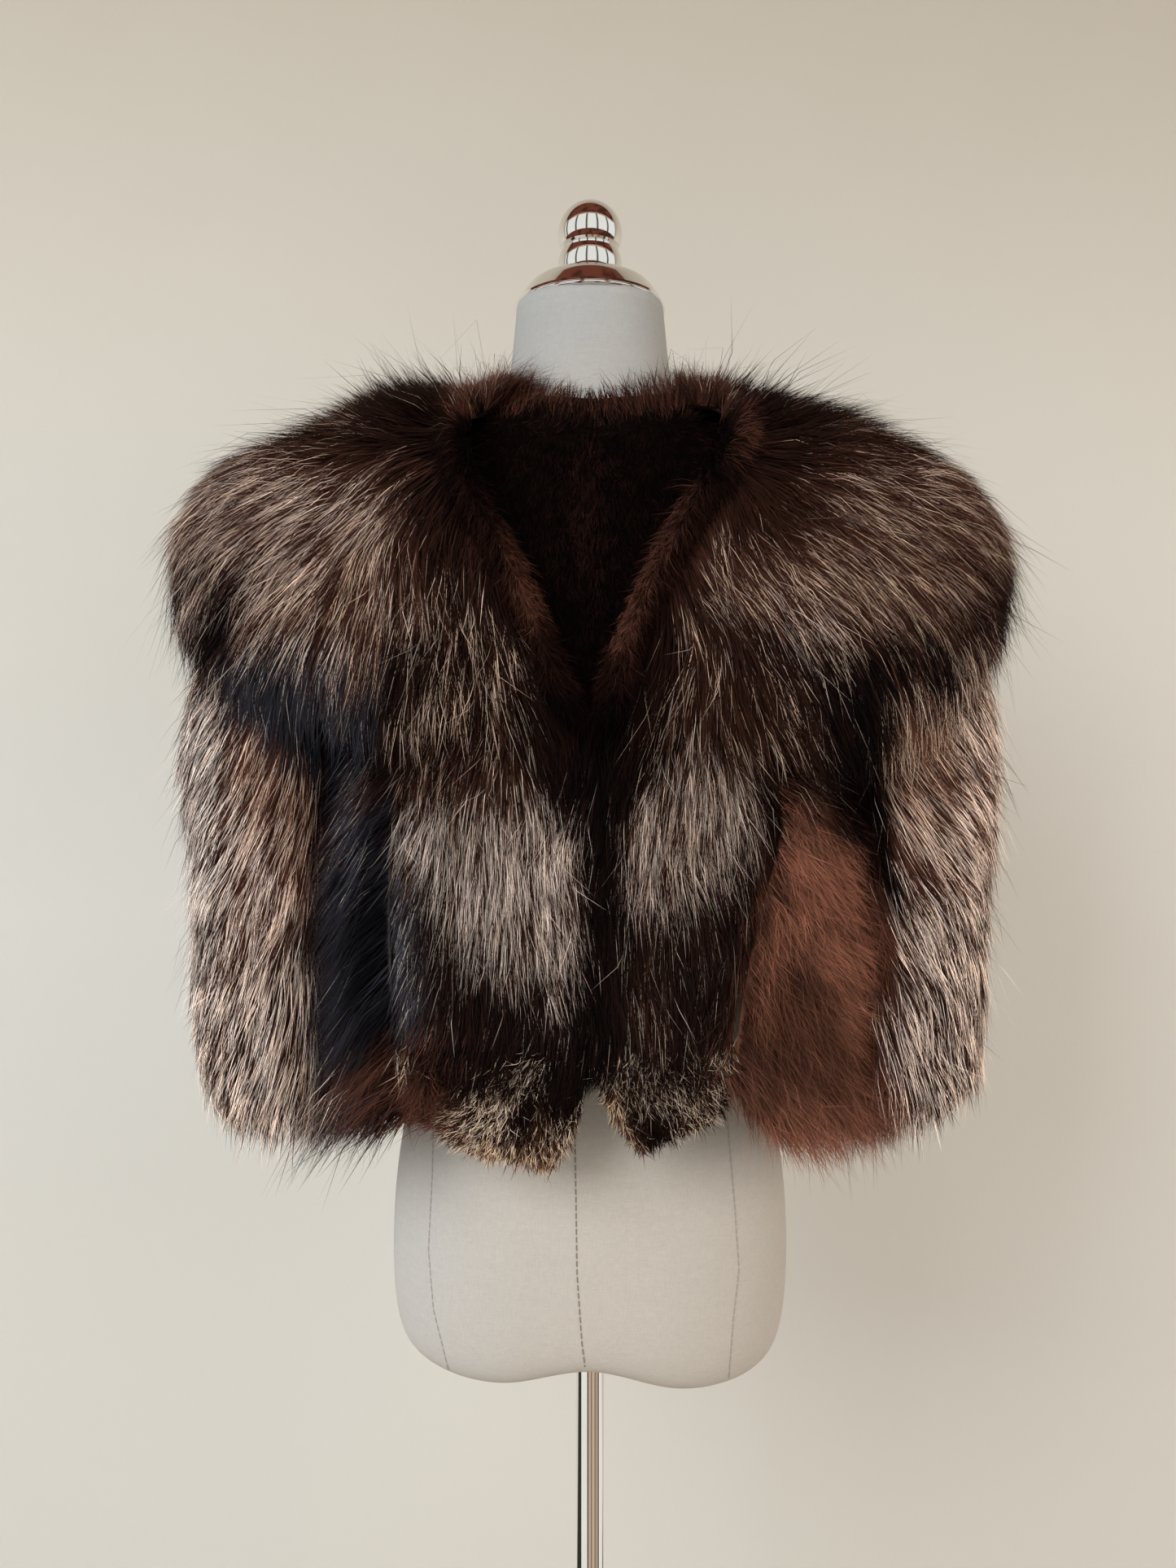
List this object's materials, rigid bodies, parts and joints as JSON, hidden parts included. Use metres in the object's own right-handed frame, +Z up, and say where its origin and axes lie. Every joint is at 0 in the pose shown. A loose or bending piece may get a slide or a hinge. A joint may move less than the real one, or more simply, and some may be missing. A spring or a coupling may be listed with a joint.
{
  "type": "cropped fur capelet with sleeves, on a limbless dress form with a pole stand",
  "caption": "Cropped long-pile fur capelet with a rolled shawl edge, shoulder cape and open sleeves, shown on a limbless linen dress form with a polished pole stand.",
  "frame": {"origin": "the middle of the stand base's flat underside, on the floor", "axes": "+Z is up the pole; the garment's front faces -Y; +X is to the right of someone who looks at the front"},
  "size_m": [0.657, 0.3573, 1.5642],
  "materials": {
    "linen": "smooth pale grey-white linen cover with a fine plain weave and narrow felled seams",
    "chrome": "polished bright metal with a faint warm tone",
    "silver_fur": "long silver fox pile, brown-black roots, pale band and dark tips",
    "dark_fur": "short dense near-black plush, brownish in its middle",
    "blue_black_fur": "long glossy blue-black guard hair",
    "brown_wool_fur": "soft brown woolly underfur with few guard hairs",
    "brindled_fur": "short dense brindled tan and black head fur"
  },
  "bodies": {
    "root": {"back": "silver_fur", "base": "chrome", "cape_back": "silver_fur", "cape_left": "silver_fur", "cape_right": "silver_fur", "finial": "chrome", "front_left": "silver_fur", "front_right": "silver_fur", "neck_cap": "chrome", "pole": "chrome", "roll_left": "brown_wool_fur", "roll_right": "brown_wool_fur", "side_left": "blue_black_fur", "side_right": "brown_wool_fur", "sleeve_left": "silver_fur", "sleeve_right": "silver_fur", "snout_left": "brindled_fur", "snout_right": "brindled_fur", "socket_collar": "chrome", "torso": "linen", "yoke_left": "dark_fur", "yoke_right": "dark_fur"}
  },
  "joints": []
}
